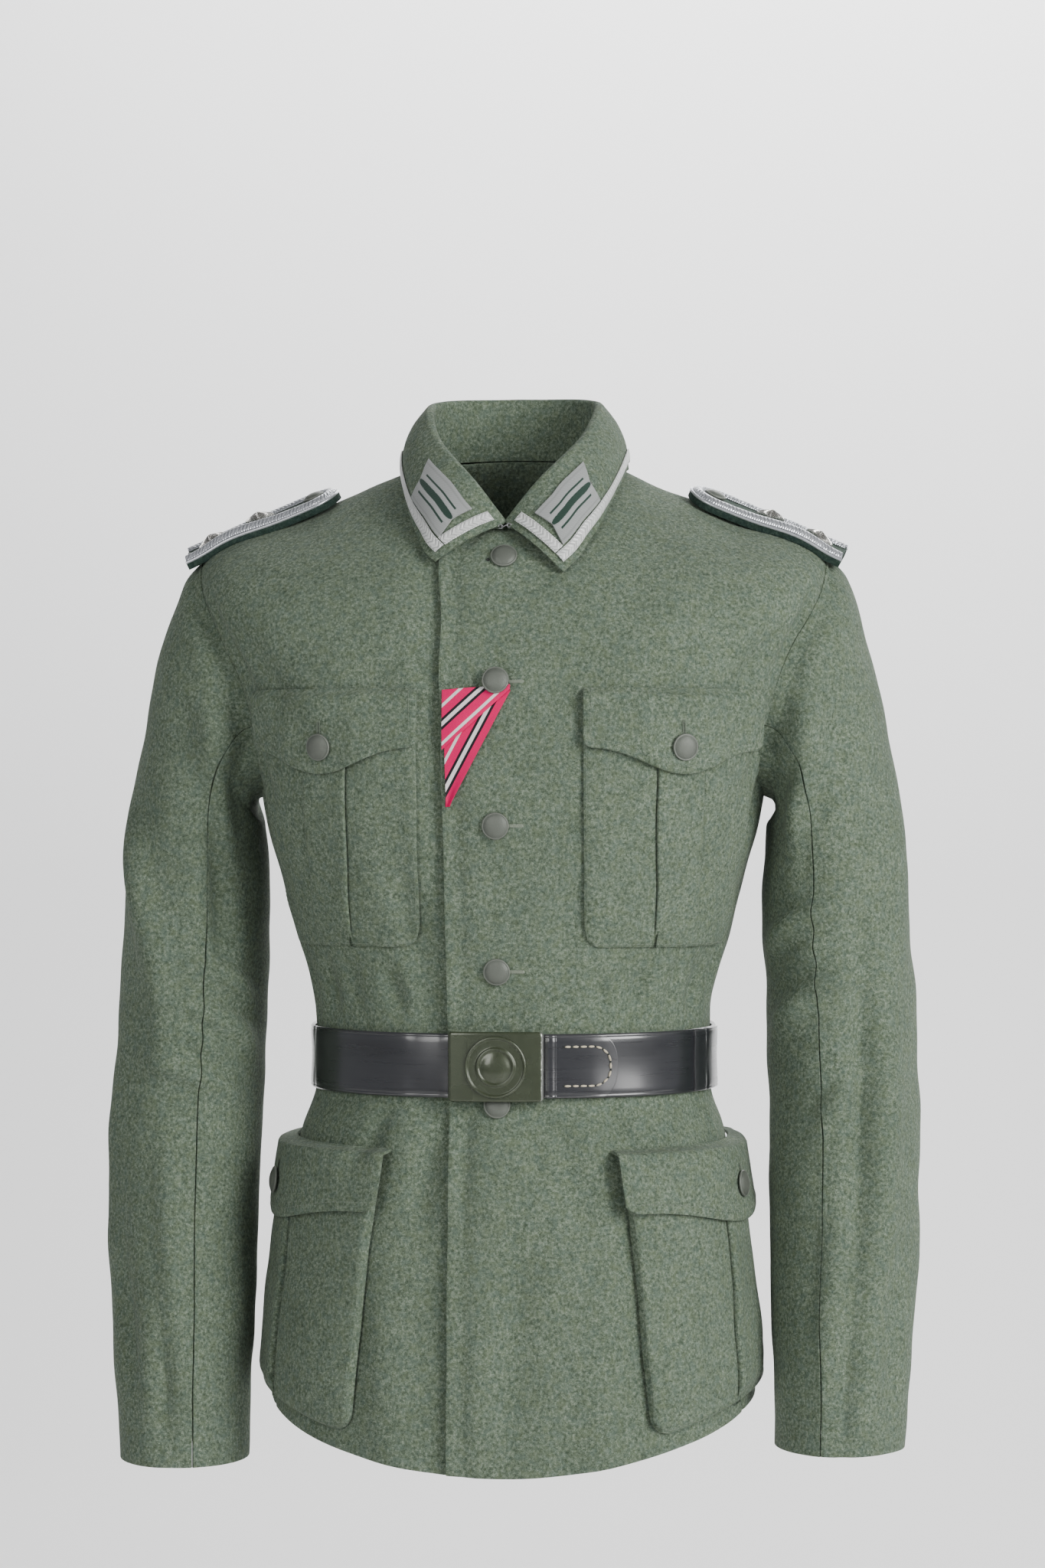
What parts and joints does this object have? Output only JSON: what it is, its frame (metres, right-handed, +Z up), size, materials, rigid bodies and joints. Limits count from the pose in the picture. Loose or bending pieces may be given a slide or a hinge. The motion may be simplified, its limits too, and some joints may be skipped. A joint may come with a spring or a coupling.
{
  "type": "military field tunic",
  "caption": "Closed wool field tunic with fall collar, shoulder boards, pleated patch pockets, sleeve bands and a buckled leather belt.",
  "frame": {"origin": "on the wearer's axis, level with the point where the neck meets the shoulder, where the wearer's shoulders hold it", "axes": "+Z up, the tunic faces -Y, the wearer's left side is +X"},
  "size_m": [0.5916, 0.2902, 0.7764],
  "materials": {
    "wool": "napped heathered field-grey wool",
    "braid": "woven silver braid",
    "button": "satin grey-green paint",
    "patch": "woven mid grey with dark green bars",
    "board": "dark green cloth with white piping",
    "pip": "bright faceted metal",
    "ribbon": "ribbed silk with woven stripes",
    "leather": "black satin leather",
    "buckle": "olive green paint, bare at its edges",
    "steel": "dull steel"
  },
  "bodies": {
    "root": {"front_left": "wool", "front_right": "wool", "back": "wool", "side_left": "wool", "side_right": "wool", "collar": "wool", "sleeve_left_top": "wool", "sleeve_left_under": "wool", "sleeve_right_top": "wool", "sleeve_right_under": "wool", "chest_pocket_left": "wool", "chest_pocket_right": "wool", "chest_flap_left": "wool", "chest_flap_right": "wool", "skirt_pocket_left": "wool", "skirt_pocket_right": "wool", "skirt_flap_left": "wool", "skirt_flap_right": "wool", "collar_braid_edge": "braid", "collar_braid_left": "braid", "collar_braid_right": "braid", "board_braid_left": "braid", "board_braid_right": "braid", "cuff_band_left_1": "braid", "cuff_band_left_2": "braid", "cuff_band_right_1": "braid", "cuff_band_right_2": "braid", "front_button_1": "button", "front_button_2": "button", "front_button_3": "button", "front_button_4": "button", "front_button_5": "button", "chest_flap_button_left": "button", "chest_flap_button_right": "button", "skirt_flap_button_left": "button", "skirt_flap_button_right": "button", "board_button_left": "button", "board_button_right": "button", "collar_patch_left": "patch", "collar_patch_right": "patch", "shoulder_board_left": "board", "shoulder_board_right": "board", "pip_left_1": "pip", "pip_left_2": "pip", "pip_right_1": "pip", "pip_right_2": "pip", "ribbon_fold": "ribbon", "ribbon_tail": "ribbon", "belt_strap": "leather", "buckle_plate": "buckle", "buckle_boss": "buckle", "collar_hook": "steel"}
  },
  "joints": []
}
